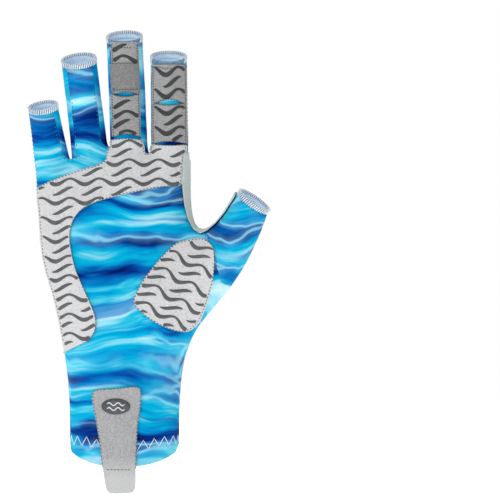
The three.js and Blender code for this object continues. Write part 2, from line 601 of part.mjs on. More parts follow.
const strapQuads = quads.filter((quad) => (quad.part === 'skirt' || quad.part === 'body') && quad.c >= columns / 2
  && quad.j < lowHole);
const strapShape = wholeDepth(inShares(strapOutline));
addPiece('pull_strap', layer(strapQuads, layerGap, leatherThickness, strapShape), leather);

const badgeQuads = quads.filter((quad) => quad.part === 'body' && quad.c < columns / 2 && quad.j < lowHole);
const badgeOval = (inset, steps = 40) => Array.from({ length: steps }, (_, i) => {
  const angle = (2 * Math.PI * i) / steps;
  const width = badgeWidth / 2 - inset;
  const height = badgeHeight / 2 - inset;
  return [badgeOffset + width * Math.cos(angle), badgeLevel + height * Math.sin(angle)];
});
addPiece('badge_backing', layer(badgeQuads, layerGap, leatherThickness, wholeDepth(badgeOval(0))), leather);
addPiece('badge_plate', layer(badgeQuads, bandDepth, badgePlateThickness, wholeDepth(badgeOval(badgeRim))), navyRubber);

export default glove;
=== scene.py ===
import math

import bmesh
import bpy
from mathutils import Matrix, Vector, noise
from mathutils.bvhtree import BVHTree


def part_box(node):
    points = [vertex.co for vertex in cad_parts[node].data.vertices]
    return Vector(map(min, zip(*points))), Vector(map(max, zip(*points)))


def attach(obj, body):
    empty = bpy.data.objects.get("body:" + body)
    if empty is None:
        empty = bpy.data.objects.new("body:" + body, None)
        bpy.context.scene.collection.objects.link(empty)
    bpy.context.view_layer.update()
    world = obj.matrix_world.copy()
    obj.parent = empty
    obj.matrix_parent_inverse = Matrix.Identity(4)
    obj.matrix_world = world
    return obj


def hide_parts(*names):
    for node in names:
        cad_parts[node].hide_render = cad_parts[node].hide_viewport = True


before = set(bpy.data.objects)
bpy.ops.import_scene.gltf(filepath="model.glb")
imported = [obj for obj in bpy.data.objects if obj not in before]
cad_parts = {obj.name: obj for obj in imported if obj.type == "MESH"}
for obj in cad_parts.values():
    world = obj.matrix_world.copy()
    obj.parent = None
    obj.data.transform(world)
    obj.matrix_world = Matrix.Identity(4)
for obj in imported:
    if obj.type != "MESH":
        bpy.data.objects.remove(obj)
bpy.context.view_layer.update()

MM = 0.001
PALM_WIDTH = 84.6  # the outlines below are shares of these sizes of the hand, in millimetres
BODY_HEIGHT = 170.0
FINGER_LENGTH = 64.1

# The palm faces the camera from 1.3 m away, so that 0.55 mm of the glove is one pixel of the 500 x 500 picture.
eye = bpy.data.objects.new("camera", bpy.data.cameras.new("camera"))
eye.data.sensor_width = 36
eye.data.lens = 36 * 1300 / (0.55 * 500)
eye.location = (0.06875, -1.3, 0.1174)
eye.rotation_euler = (math.pi / 2, 0, 0)
bpy.context.collection.objects.link(eye)
bpy.context.scene.camera = eye
bpy.context.scene.view_settings.view_transform = "Standard"  # keeps the dyes as bright as they are printed


def linear(hex_colour):
    """An sRGB hex colour as linear RGBA."""
    parts = [int(hex_colour[i:i + 2], 16) / 255 for i in (1, 3, 5)]
    return [c / 12.92 if c <= 0.04045 else ((c + 0.055) / 1.055) ** 2.4 for c in parts] + [1.0]


def add(tree, kind, inputs=None, out=0, stops=(), **settings):
    """Adds a node with its settings, gives its inputs their values or links, and returns one of its outputs. stops
    are a colour ramp's (place, hex colour or grey)."""
    node = tree.nodes.new("ShaderNode" + kind)
    for key, value in settings.items():
        setattr(node, key, value)
    for key, value in (inputs or {}).items():
        if isinstance(value, bpy.types.NodeSocket):
            tree.links.new(value, node.inputs[key])
        else:
            node.inputs[key].default_value = value
    for i, (place, colour) in enumerate(stops):
        marks = node.color_ramp.elements
        mark = marks[i] if i < len(marks) else marks.new(place)
        mark.position = place
        mark.color = linear(colour) if isinstance(colour, str) else (colour, colour, colour, 1)
    return node.outputs[out]


def cloud(tree, place, scale, detail, roughness=0.5, distortion=0.0, out="Fac"):
    """Adds a noise texture and returns one of its outputs."""
    return add(tree, "TexNoise", {"Vector": place, "Scale": scale, "Detail": detail,
                                            "Roughness": roughness, "Distortion": distortion}, out)


def material(name, colour, roughness, **sockets):
    """A material, with its node tree and its shader."""
    made = bpy.data.materials.new(name)
    made.use_nodes = True
    made.diffuse_color = linear(colour)
    shader = made.node_tree.nodes["Principled BSDF"]
    shader.inputs["Base Color"].default_value = linear(colour)
    shader.inputs["Roughness"].default_value = roughness
    for key, value in sockets.items():
        shader.inputs[key.replace("_", " ")].default_value = value
    return made, made.node_tree, shader


def printed_knit(name, shift, levels, contrast, light_lines):
    """Polyester and elastane knit, dye-printed all over with rippled water: smooth and matt, in long streaks from
    navy to pale cyan. levels are (millimetres above the hem, 0 for deep water to 1 for pale), contrast is how far
    the streaks are apart in tone, and light_lines is how strong the thin bright lines are."""
    made, tree, shader = material(name, "#1a8fe0", 0.7, Specular_IOR_Level=0.03)
    place = add(tree, "TexCoord", out="Object")
    moved = add(tree, "Mapping", {"Vector": place, "Location": shift})
    # the streaks bend over about 60 mm, by up to about 8 mm
    swirl = cloud(tree, moved, 16.0, 2.0, 0.4, out="Color")
    bend = swirl.node.outputs["Fac"]
    pull = add(tree, "VectorMath", {0: swirl, 1: (0.06, 0.03, 0.042), 2: (-0.03, -0.015, -0.021)},
               operation="MULTIPLY_ADD")
    bent = add(tree, "VectorMath", {0: moved, 1: pull}, operation="ADD")
    # streaks about 5 mm high and 40 mm long
    drawn = add(tree, "Mapping", {"Vector": bent, "Scale": (0.13, 0.13, 1.0)})
    tone = cloud(tree, drawn, 92.0, 4.0, 0.56, 0.15)
    # how deep the water looks here: by height, with the fingers on the thumb's side paler
    across = add(tree, "SeparateXYZ", {"Vector": place}, "X")
    wander = add(tree, "Math", {0: bend, 1: 0.03, 2: across.node.outputs["Z"]}, operation="MULTIPLY_ADD")
    level = add(tree, "MapRange", {"Value": wander, "From Min": 0.015, "From Max": 0.255})
    stretch = add(tree, "ValToRGB", {"Fac": level}, stops=[(z / 240, share) for z, share in levels])
    height = across.node.outputs["Z"]
    is_finger = add(tree, "MapRange", {"Value": height, "From Min": 0.170, "From Max": 0.176})
    is_near = add(tree, "MapRange",
                  {"Value": across, "From Min": -0.011, "From Max": -0.005, "To Max": 0.04})
    paler = add(tree, "Math", {0: is_finger, 1: is_near}, operation="MULTIPLY")
    based = add(tree, "Math", {0: tone, 1: contrast, 2: paler}, operation="MULTIPLY_ADD")
    lifted = add(tree, "Math", {0: stretch, 1: 0.34, 2: based}, operation="MULTIPLY_ADD")
    depth = add(tree, "Math", {0: lifted, 1: 0.17 + (contrast - 1) / 2}, operation="SUBTRACT")
    colour = add(tree, "ValToRGB", {"Fac": depth}, stops=[
        (0.2, "#001a60"), (0.27, "#002a78"), (0.34, "#004a98"), (0.41, "#0070b8"), (0.465, "#008fca"),
        (0.515, "#00a2d2"), (0.57, "#00b0d8"), (0.62, "#3cbedd"), (0.69, "#7fd2e8"),
        (0.8, "#aee2f0"), (0.98, "#d6f2f8")])
    # dark lines along the streaks, 1 to 2 mm wide
    thin = add(tree, "Mapping", {"Vector": bent, "Location": (0.3, 0.1, 0.2), "Scale": (0.11, 0.11, 1.0)})
    dark_field = cloud(tree, thin, 125.0, 1.5, 0.5, 0.3)
    dark = add(tree, "ValToRGB", {"Fac": dark_field}, stops=[(0.36, 0.8), (0.42, 0.25), (0.47, 0.0)])
    colour = add(tree, "Mix", {0: dark, 6: colour, 7: linear("#4a98d8")}, 2, data_type="RGBA",
                 blend_type="MULTIPLY")
    # bright lines where the light gathers: under 1 mm wide with a soft glow, round cells 17 mm high and 140 mm long
    ripple = cloud(tree, bent, 45.0, 2.0, out="Color")
    rippled = add(tree, "VectorMath", {0: ripple, 1: (0.05, 0.05, 0.008), 2: bent},
                  operation="MULTIPLY_ADD")
    cells = add(tree, "Mapping",
                {"Vector": rippled, "Location": (0.7, 0.2, 0.5), "Scale": (0.12, 0.12, 1.0)})
    rim = add(tree, "TexVoronoi", {"Vector": cells, "Scale": 58.0}, "Distance", feature="DISTANCE_TO_EDGE")
    light = add(tree, "ValToRGB", {"Fac": rim}, stops=[(0.0, 0.8), (0.018, 0.7), (0.04, 0.2), (0.14, 0.0)])
    where = add(tree, "MapRange",
                {"Value": bend, "From Min": 0.38, "From Max": 0.56, "To Max": light_lines})
    shine = add(tree, "Math", {0: light, 1: where}, operation="MULTIPLY")
    colour = add(tree, "Mix", {0: shine, 6: colour, 7: linear("#96def6")}, 2, data_type="RGBA",
                 blend_type="SCREEN")
    tree.links.new(colour, shader.inputs["Base Color"])
    # knitted rows: real ones are 0.4 mm apart, drawn at 0.9 mm so that they show; a wave's scale is 0.314
    # per row a metre
    rows = add(tree, "TexWave",
               {"Vector": place, "Scale": 0.314 / 0.0009, "Distortion": 0.6, "Detail": 1.0}, "Fac",
               bands_direction="DIAGONAL")
    bump = add(tree, "Bump", {"Strength": 0.12, "Distance": 0.0002, "Height": rows})
    tree.links.new(bump, shader.inputs["Normal"])
    return made


def suede(name, colour, light, dark, faded=None):
    """Microfibre leather with a short brushed nap: matt, with a grain of about a millimetre and finely pitted. faded
    is its colour below the hem, where the strap hangs free and its dye has faded."""
    made, tree, shader = material(name, colour, 0.88, Sheen_Weight=0.15, Sheen_Roughness=0.5)
    place = add(tree, "TexCoord", out="Object")
    mottle = cloud(tree, place, 1000.0, 3.0, 0.6)
    colours = add(tree, "ValToRGB", {"Fac": mottle}, stops=[(0.22, dark), (0.5, colour), (0.78, light)])
    # handling darkens it in soft patches, 15 mm across
    cloudy = cloud(tree, place, 66.0, 2.0)
    worn = add(tree, "MapRange", {"Value": cloudy, "From Min": 0.5, "From Max": 0.75, "To Max": 0.25})
    colours = add(tree, "Mix", {0: worn, 6: colours, 7: linear(dark)}, 2, data_type="RGBA")
    if faded:
        height = add(tree, "SeparateXYZ", {"Vector": place}, "Z")
        low = add(tree, "MapRange", {"Value": height, "From Min": 0.006, "From Max": -0.006, "To Max": 0.6})
        colours = add(tree, "Mix", {0: low, 6: colours, 7: linear(faded)}, 2, data_type="RGBA")
    tree.links.new(colours, shader.inputs["Base Color"])
    # nap pits about 0.6 mm wide
    pits = cloud(tree, place, 1600.0, 3.0, 0.6)
    bump = add(tree, "Bump", {"Strength": 0.35, "Distance": 0.0003, "Height": pits})
    tree.links.new(bump, shader.inputs["Normal"])
    return made


def plain(name, colour, roughness, other, size_mm, bumpy=0.2, **sockets):
    """One colour that drifts towards another over size_mm, with a bump of the same size."""
    made, tree, shader = material(name, colour, roughness, **sockets)
    place = add(tree, "TexCoord", out="Object")
    drift = cloud(tree, place, 1000.0 / size_mm, 3.0)
    colours = add(tree, "ValToRGB", {"Fac": drift}, stops=[(0.35, colour), (0.65, other)])
    tree.links.new(colours, shader.inputs["Base Color"])
    bump = add(tree, "Bump", {"Strength": bumpy, "Distance": 0.0002, "Height": drift})
    tree.links.new(bump, shader.inputs["Normal"])
    return made


# How deep the printed water looks, up the front and up the back of the glove.
FRONT_LEVELS = [
    (0, 0.85), (7, 0.75), (15, 0.1), (22, 0.35), (28, 0.6), (36, 0.45), (42, 0.65), (47, 0.25), (53, 0.6), (59, 0.3),
    (64, 0.85), (80, 0.95), (98, 0.85), (104, 0.1), (110, 0.75), (117, 0.65), (123, 0.0), (129, 0.7), (135, 0.75),
    (142, 0.5), (150, 0.3), (160, 0.7), (168, 0.6), (174, 0.35), (179, 0.0), (186, 0.15), (194, 0.0), (199, 0.5),
    (206, 0.4), (214, 0.05), (226, 0.2)]
BACK_LEVELS = [
    (0, 0.6), (12, 0.35), (24, 0.6), (34, 0.4), (46, 0.65), (58, 0.5), (66, 0.25), (74, 0.5), (84, 0.05), (92, 0.45),
    (100, 0.2), (106, 0.0), (112, 0.35), (120, 0.75), (128, 0.5), (134, 0.25), (142, 0.6), (150, 0.8), (156, 0.25),
    (162, 0.2), (168, 0.6), (177, 0.35), (185, 0.0), (192, 0.5), (199, 0.1), (206, 0.5), (214, 0.2),
    (224, 0.5), (232, 0.3)]
SIDE_LEVELS = [(0, 0.5), (176, 0.25), (188, 0.75), (198, 0.45), (210, 0.7), (222, 0.35)]
THUMB_LEVELS = [(0, 0.5), (105, 0.6), (118, 0.4), (150, 0.45)]

palm_print = printed_knit("front_water_print_knit", (0.0, 0.0, 0.0), FRONT_LEVELS, 1.45, 0.85)
back_print = printed_knit("back_water_print_knit", (0.31, 0.2, 0.11), BACK_LEVELS, 1.1, 1.3)
strip_print = printed_knit("side_strip_water_print_knit", (0.13, 0.4, 0.06), SIDE_LEVELS, 1.4, 0.7)
thumb_print = printed_knit("thumb_water_print_knit", (0.02, 0.11, 0.3), THUMB_LEVELS, 1.3, 0.9)
# thin brushed knit; its faint emission all over is a painted glow, standing in for daylight that comes through the
# thin knit into the openings
lining_with_painted_glow = plain("brushed_knit_lining_painted_glow", "#cfe6f8", 0.8, "#e6f2fc", 1.2, 0.4, Sheen_Weight=0.2,
               Emission_Color=(0.5, 0.74, 0.95, 1), Emission_Strength=0.07)
grey_suede = suede("light_grey_microfibre", "#cdcdce", "#dedede", "#b2b2b4")
strap_suede = suede("grey_microfibre", "#a3a3a4", "#b9b9ba", "#88888b", faded="#cfcfcf")
band_suede = suede("dark_grey_microfibre", "#7c7c7c", "#90908f", "#666667")
# the palm's grey microfibre darkened for the fingers: painted shade on the curled fingers
finger_suede_painted_shade = suede("grey_microfibre_painted_finger_shade", "#959595", "#aaaaa9", "#7b7b7c")
web_suede = suede("green_grey_microfibre", "#c2ccca", "#d0d8d6", "#aebab8")
# printed silicone: dark grey, rubbery and a little shiny
silicone = plain("printed_grip_silicone", "#4a4b4d", 0.5, "#58595c", 3.0, 0.1, Specular_IOR_Level=0.45)
dark_silicone = plain("thick_printed_grip_silicone", "#2b2c2e", 0.5, "#38393b", 3.0, 0.1, Specular_IOR_Level=0.4)
grey_thread = plain("grey_polyester_thread", "#55575a", 0.6, "#6e7073", 0.8, 0.3)
dark_thread = plain("charcoal_polyester_thread", "#38393b", 0.6, "#4d4e50", 0.8, 0.3)
pale_thread = plain("white_polyester_thread", "#dbe3ea", 0.55, "#f4f7fa", 0.8, 0.3, Sheen_Weight=0.2)
# the rolled knit under the overlock loops, its colour darkened to blue grey as painted shade between and under the
# loops
rolled_edge_painted_shade = plain("rolled_knit_edge_painted_shade", "#55799a", 0.8, "#7c9eb8", 1.0, 0.4)
blue_thread = plain("mid_blue_polyester_thread", "#14609f", 0.6, "#2f7fbb", 0.9, 0.3)
navy_rubber = plain("moulded_navy_rubber", "#071452", 0.42, "#0a1a60", 4.0, 0.05, Specular_IOR_Level=0.35)
pale_rubber = plain("moulded_pale_grey_rubber", "#cfd6dc", 0.5, "#dbe0e5", 2.0, 0.2)


def soft_light(name, place, across, power):
    """A square studio panel that shines on the glove."""
    lamp = bpy.data.lights.new(name, "AREA")
    lamp.size = across
    lamp.energy = power
    holder = bpy.data.objects.new(name, lamp)
    holder.location = place
    holder.rotation_mode = "QUATERNION"
    holder.rotation_quaternion = (Vector((0, 0, 0.12)) - Vector(place)).to_track_quat("-Z", "Y")
    bpy.context.collection.objects.link(holder)


soft_light("key_panel", (-0.8, -1.1, 1.0), 0.6, 9)
soft_light("fill_panel", (1.2, -0.9, 0.3), 0.8, 2)
soft_light("rear_panel", (-0.6, 1.2, 0.7), 0.8, 8)

room = bpy.data.worlds.new("white_room")
room.use_nodes = True
room_light = room.node_tree.nodes["Background"]
room_light.inputs["Color"].default_value = (1, 1, 1, 1)
room_light.inputs["Strength"].default_value = 0.48
seen = add(room.node_tree, "LightPath", out="Is Camera Ray")
backdrop = add(room.node_tree, "Background", {"Color": (1, 1, 1, 1), "Strength": 1.0})
either = add(room.node_tree, "MixShader", {0: seen, 1: room_light.outputs[0], 2: backdrop})
room.node_tree.links.new(either, room.node_tree.nodes["World Output"].inputs["Surface"])
bpy.context.scene.world = room

bm = bmesh.new()
bmesh.ops.create_circle(bm, cap_ends=True, segments=96, radius=1.6, matrix=Matrix.Translation((0, 0, -0.06)))
floor_mesh = bpy.data.meshes.new("floor")
bm.to_mesh(floor_mesh)
bm.free()
floor = bpy.data.objects.new("floor", floor_mesh)
floor_look, _, _ = material("matt_white_floor", "#ffffff", 0.9, Emission_Color=(1, 1, 1, 1), Emission_Strength=0.55)
floor_mesh.materials.append(floor_look)
bpy.context.collection.objects.link(floor)


def new_piece(name, bm, looks):
    """Turns a bmesh into a piece that rides on the glove."""
    mesh = bpy.data.meshes.new(name)
    bm.to_mesh(mesh)
    bm.free()
    for look in looks:
        mesh.materials.append(look)
    mesh.shade_smooth()
    piece = bpy.data.objects.new(name, mesh)
    bpy.context.collection.objects.link(piece)
    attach(piece, "root")
    return piece


def merged_copy(node):
    bm = bmesh.new()
    bm.from_mesh(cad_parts[node].data)
    bmesh.ops.remove_doubles(bm, verts=bm.verts, dist=2e-5)
    return bm


def sharp_edges(bm, degrees):
    return [e for e in bm.edges if e.calc_face_angle(0) > math.radians(degrees)]


def thicken(piece, thickness):
    """Gives a sheet its thickness in millimetres, inwards from its outer side."""
    wall = piece.modifiers.new("thickness", "SOLIDIFY")
    wall.thickness = thickness * MM
    wall.offset = -1
    return wall


def outer_sheet(node, lines_gap):
    """The outer side of a panel. Its faces are parted at the sharp edges: the outer side is the largest part of a
    panel that bulges, and of a strip that lines the gap between two fingers it is all that faces the gap."""
    bm = merged_copy(node)
    bmesh.ops.join_triangles(bm, faces=bm.faces, angle_face_threshold=math.radians(50),
                             angle_shape_threshold=math.radians(180))
    bmesh.ops.split_edges(bm, edges=sharp_edges(bm, 62))
    seen, sides = set(), []
    for start in bm.faces:
        if start in seen:
            continue
        seen.add(start)
        side = [start]
        for face in side:
            for other in (f for edge in face.edges for f in edge.link_faces if f not in seen):
                seen.add(other)
                side.append(other)
        sides.append(side)
    kept = [max(sides, key=lambda side: sum(f.calc_area() for f in side))]
    if lines_gap:
        solid = BVHTree.FromBMesh(bm)
        low = min(v.co.z for v in bm.verts)

        def faces_gap(side):
            """It looks across the gap at the strip's other leg, or it is the foot of the gap."""
            size = sum(f.calc_area() for f in side)
            facing = sum(f.calc_area() for f in side
                         if solid.ray_cast(f.calc_center_median() + f.normal * 0.1 * MM, f.normal, 30 * MM)[0])
            upwards = sum(f.calc_area() * f.normal.z for f in side)
            top = max(f.calc_center_median().z for f in side)
            return facing > 0.15 * size or (upwards > 0.3 * size and top < low + 8 * MM)

        kept = [side for side in sides if faces_gap(side)]
    kept = {f for side in kept for f in side}
    bmesh.ops.delete(bm, geom=[f for f in bm.faces if f not in kept], context="FACES")
    bmesh.ops.remove_doubles(bm, verts=bm.verts, dist=2e-5)
    return bm


# Soft folds in the cloth: from (x, z) to (x, z) in millimetres on the palm (-1) or the back (1), as wide as width and
# raised by lift.
FOLDS = [
    (-1, 38, 60, 8, 84, 5, 0.7), (-1, 34, 50, -6, 66, 5, -0.6), (-1, -30, 62, 2, 74, 6, 0.5),
    (-1, -28, 50, 6, 58, 4, -0.5), (-1, 30, 32, 6, 44, 5, 0.45), (-1, -26, 30, -2, 40, 5, -0.4),
    (-1, 28, 20, 8, 26, 3.5, 0.4), (-1, -2, 120, 30, 124, 6, -0.5), (-1, -20, 104, 10, 108, 7, 0.4),
    (-1, 44, 128, 62, 118, 2.2, -0.5), (-1, 47, 124, 58, 104, 2.2, 0.45), (-1, 58, 130, 70, 118, 2.5, 0.4),
    (-1, -50, 170, -36, 160, 3, 0.45), (-1, -46, 176, -34, 170, 2.5, -0.4), (-1, -28, 180, -14, 172, 2.5, 0.4),
    (-1, -30, 188, -16, 184, 2.2, -0.35), (-1, -30, 194, -16, 192, 2.5, 0.3),
    (1, 14, 172, 36, 170, 2.2, -0.5), (1, -8, 174, 12, 174, 2.2, -0.5), (1, -30, 176, -12, 176, 2.2, -0.5),
    (1, -50, 164, -34, 166, 2.0, -0.5), (1, 14, 178, 36, 177, 2.4, 0.35), (1, -8, 181, 12, 181, 2.4, 0.35),
    (1, -30, 183, -14, 183, 2.4, 0.35), (1, 24, 120, -30, 128, 6, -0.5), (1, 40, 104, -20, 96, 6, 0.55),
    (1, 44, 96, 0, 84, 5, -0.5), (1, 30, 70, -28, 78, 6, 0.4), (1, 28, 34, -26, 42, 5, 0.35),
]


def fold_rise(point, normal):
    """How far a fold lifts the cloth at a point, in metres."""
    x, z = point.x / MM, point.z / MM
    rise = 0.10 * noise.noise(Vector((x / 26, point.y / MM / 26, z / 12)))
    rise += 0.05 * noise.noise(Vector((x / 7, point.y / MM / 7, z / 4)))
    for side, x0, z0, x1, z1, width, lift in FOLDS:
        facing = side * normal.y
        if facing <= 0.05:
            continue
        along = Vector((x1 - x0, z1 - z0))
        t = max(0.0, min(1.0, ((x - x0) * along.x + (z - z0) * along.y) / along.length_squared))
        bend = 0.08 * along.length * math.sin(3.0 * t + x0)
        away = math.hypot(x - x0 - along.x * t - bend * along.y / along.length,
                          z - z0 - along.y * t + bend * along.x / along.length) / width
        if away < 2.5:
            rise += (lift * math.exp(-away * away * 1.4) * min(1.0, 2.5 * facing)
                     * math.sin(math.pi * (0.12 + 0.76 * t)))
    return rise * MM


def inward(vert):
    """The direction from a cloth's edge into the cloth, and none for a point inside it."""
    rim = [e for e in vert.link_edges if len(e.link_faces) == 1]
    if not rim:
        return Vector()
    away = sum(((f.calc_center_median() - vert.co) for f in vert.link_faces), Vector())
    away -= vert.normal * away.dot(vert.normal)
    tangent = (rim[0].verts[1].co - rim[0].verts[0].co).normalized()
    return (away - tangent * away.dot(tangent)).normalized()


def cloth_piece(node, name, look, lines_gap, flat, area):
    """A cloth panel: the node's outer side, smoothed and folded, and let out by 0.2 mm so that it meets its
    neighbours."""
    bm = outer_sheet(node, lines_gap)
    for face in bm.faces:
        face.smooth = True
    # the inner faces get the lining, which has a painted glow
    piece = new_piece(name, bm, [look, lining_with_painted_glow])
    smooth = piece.modifiers.new("smooth", "SUBSURF")
    smooth.levels = smooth.render_levels = 3
    smooth.boundary_smooth = "PRESERVE_CORNERS"
    mesh = bpy.data.meshes.new_from_object(piece.evaluated_get(bpy.context.evaluated_depsgraph_get()))
    piece.modifiers.clear()
    bm = bmesh.new()
    bm.from_mesh(mesh)
    bm.normal_update()
    moves = [(v, v.normal * fold_rise(v.co, v.normal) - inward(v) * 0.2 * MM) for v in bm.verts]
    for vert, move in moves:
        vert.co += move
    bm.to_mesh(mesh)
    bm.free()
    piece.data = mesh
    piece.data.shade_smooth()
    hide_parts(node)
    return piece


# node, piece, look, whether it lines a gap between fingers, the rectangle it was cut from, in metres, and the area of
# the cut, which is about 3% less than on the hand, and 7% for the strips
PANELS = [
    ("palm_panel", "palm_cloth", palm_print, False, (0.110, 0.226), 0.0186),
    ("back_panel", "back_cloth", back_print, False, (0.115, 0.232), 0.0189),
    ("index_middle_side_strip", "index_middle_side_cloth", strip_print, True, (0.016, 0.125), 0.00156),
    ("middle_ring_side_strip", "middle_ring_side_cloth", strip_print, True, (0.015, 0.120), 0.00145),
    ("ring_little_side_strip", "ring_little_side_cloth", strip_print, True, (0.014, 0.100), 0.00105),
    ("thumb_sleeve", "thumb_cloth", thumb_print, False, (0.062, 0.060), 0.00264),
]
cloth = {row[0]: cloth_piece(*row) for row in PANELS}
FINGER_NAMES = ("thumb", "index", "middle", "ring", "little")


def joined_tree(bms):
    """One search tree over several meshes."""
    verts, faces = [], []
    for bm in bms:
        bm.verts.index_update()
        faces += [[len(verts) + v.index for v in f.verts] for f in bm.faces]
        verts += [v.co.copy() for v in bm.verts]
        bm.free()
    return BVHTree.FromPolygons(verts, faces)


def copy_of(piece):
    bm = bmesh.new()
    bm.from_mesh(piece.data)
    return bm


glove_skin = joined_tree([copy_of(piece) for piece in cloth.values()]
                         + [merged_copy(f"{name}_edge_binding") for name in FINGER_NAMES])
strap_guide = joined_tree([merged_copy("pull_strap")])

for piece in cloth.values():
    wall = thicken(piece, 0.8)
    wall.material_offset = 1
    wall.material_offset_rim = 0


def under(tree, x, z, side):
    """Where the front (-1) or back (1) view meets a surface at x, z in millimetres, and its direction there. It looks
    past the seam between two panels, which is 0.3 mm wide."""
    for aside in (0, 0.4, -0.4):
        place, normal, _, _ = tree.ray_cast(Vector(((x + aside) * MM, side * 0.2, z * MM)), Vector((0, -side, 0)))
        if place is not None and normal.y * side > 0.08:
            return Vector((x * MM, place.y, place.z)), normal
    return None, None


def on(tree, x, z, side=-1, lift=0.0):
    """A point lifted by so many millimetres from a surface, and the smoothed outward direction there."""
    place, first = under(tree, x, z, side)
    if place is None:
        place, first, _, _ = tree.find_nearest(Vector((x * MM, side * 0.012, z * MM)))
        if first.y * side < 0:
            first = -first
    total = first.copy()
    for dx, dz in ((1.2, 0), (-1.2, 0), (0, 1.2), (0, -1.2)):
        hit, direction = under(tree, x + dx, z + dz, side)
        if hit is not None and (hit - place).length < 3 * MM:
            total += direction
    total.normalize()
    return place + total * lift * MM, total


def on_skin(x, z, side=-1, lift=0.0):
    return on(glove_skin, x, z, side, lift)


def on_strap(x, z, side=-1, lift=0.0):
    """As on_skin, but below the hem it follows the hanging strap instead."""
    blend = min(1.0, max(0.0, (8.0 - z) / 6.0))
    if blend == 0:
        return on_skin(x, z, side, lift)
    hit, _, _, _ = strap_guide.ray_cast(Vector((x * MM, -0.2, z * MM)), Vector((0, 1, 0)))
    if hit is None:
        hit, _, _, _ = strap_guide.find_nearest(Vector((x * MM, -0.022, z * MM)))
    hang = Vector((x * MM, hit.y, z * MM)) + Vector((0, -1, 0)) * (lift - 1.3) * MM
    if blend == 1:
        return hang, Vector((0.02 * x / 20, -1, 0)).normalized()
    place, normal = on_skin(x, z, side, lift)
    return place.lerp(hang, blend), normal.lerp(Vector((0, -1, 0)), blend).normalized()


def between(p, q, start, end, t):
    """The point at t on the line through p at start and q at end."""
    return p * ((end - t) / (end - start)) + q * ((t - start) / (end - start))


def smooth_outline(points, spacing=0.9):
    """A closed run of points about spacing apart, on a centripetal curve through the given ones."""
    made, count = [], len(points)
    for i in range(count):
        p0, p1, p2, p3 = (Vector(points[(i + k - 1) % count]) for k in range(4))
        t0 = 0.0
        t1 = t0 + max(1e-3, (p1 - p0).length ** 0.5)
        t2 = t1 + max(1e-3, (p2 - p1).length ** 0.5)
        t3 = t2 + max(1e-3, (p3 - p2).length ** 0.5)
        steps = max(1, round((p2 - p1).length / spacing))
        for s in range(steps):
            t = t1 + (t2 - t1) * s / steps
            a1, a2, a3 = between(p0, p1, t0, t1, t), between(p1, p2, t1, t2, t), between(p2, p3, t2, t3, t)
            b1, b2 = between(a1, a2, t0, t2, t), between(a2, a3, t1, t3, t)
            made.append(tuple(between(b1, b2, t1, t2, t)))
    return made


def pulled_in(outline, facing=0.33):
    """The outline with the points that miss the glove, or its near side, moved to the nearest place that it shows,
    and those smoothed."""
    made, moved = [], []
    for x, z in outline:
        spots = [(x, z)] + [(x + 0.4 * r * math.cos(a * math.pi / 8), z + 0.4 * r * math.sin(a * math.pi / 8))
                            for r in range(1, 16) for a in range(16)]
        for spot in spots:
            place, normal = under(glove_skin, *spot, -1)
            if place is not None and -normal.y > facing:
                if not made or math.dist(made[-1], spot) > 0.45:
                    made.append(spot)
                    moved.append(spot != (x, z))
                break
    for _ in range(4):
        ring = [made[-1]] + made + made[:1]
        made = [((a[0] + 2 * b[0] + c[0]) / 4, (a[1] + 2 * b[1] + c[1]) / 4)
                if moved[i] and moved[i - 1] and moved[(i + 1) % len(moved)] else b
                for i, (a, b, c) in enumerate(zip(ring, made, ring[2:]))]
    return made


def inside(x, z, outline):
    hit = False
    for (x0, z0), (x1, z1) in zip(outline, outline[1:] + outline[:1]):
        if (z0 > z) != (z1 > z) and x < x0 + (z - z0) * (x1 - x0) / (z1 - z0):
            hit = not hit
    return hit


def edge_distance(x, z, outline):
    """Distance from the outline, in millimetres."""
    best = 1e9
    for (x0, z0), (x1, z1) in zip(outline, outline[1:] + outline[:1]):
        dx, dz = x1 - x0, z1 - z0
        t = max(0.0, min(1.0, ((x - x0) * dx + (z - z0) * dz) / max(1e-9, dx * dx + dz * dz)))
        best = min(best, math.hypot(x - x0 - dx * t, z - z0 - dz * t))
    return best


def flat_face(outline):
    """A bmesh with one upright face of this outline, and that face."""
    bm = bmesh.new()
    face = bm.faces.new([bm.verts.new((x, 0, z)) for x, z in outline])
    bm.normal_update()
    return bm, face


def face_out(bm, side):
    """Turns a patch's faces to the front (-1) or the back (1)."""
    if sum(f.normal.y * f.calc_area() for f in bm.faces) * side < 0:
        bmesh.ops.reverse_faces(bm, faces=bm.faces)


RINGS = [0.0, 0.35, 0.8, 1.3, 1.75, 2.2, 2.9]  # millimetres in from a patch's edge
RING_LIFT = [0.55, 0.95, 1.1, 1.0, 0.85, 1.05, 1.2]  # the sewn edge dips along its row of stitches


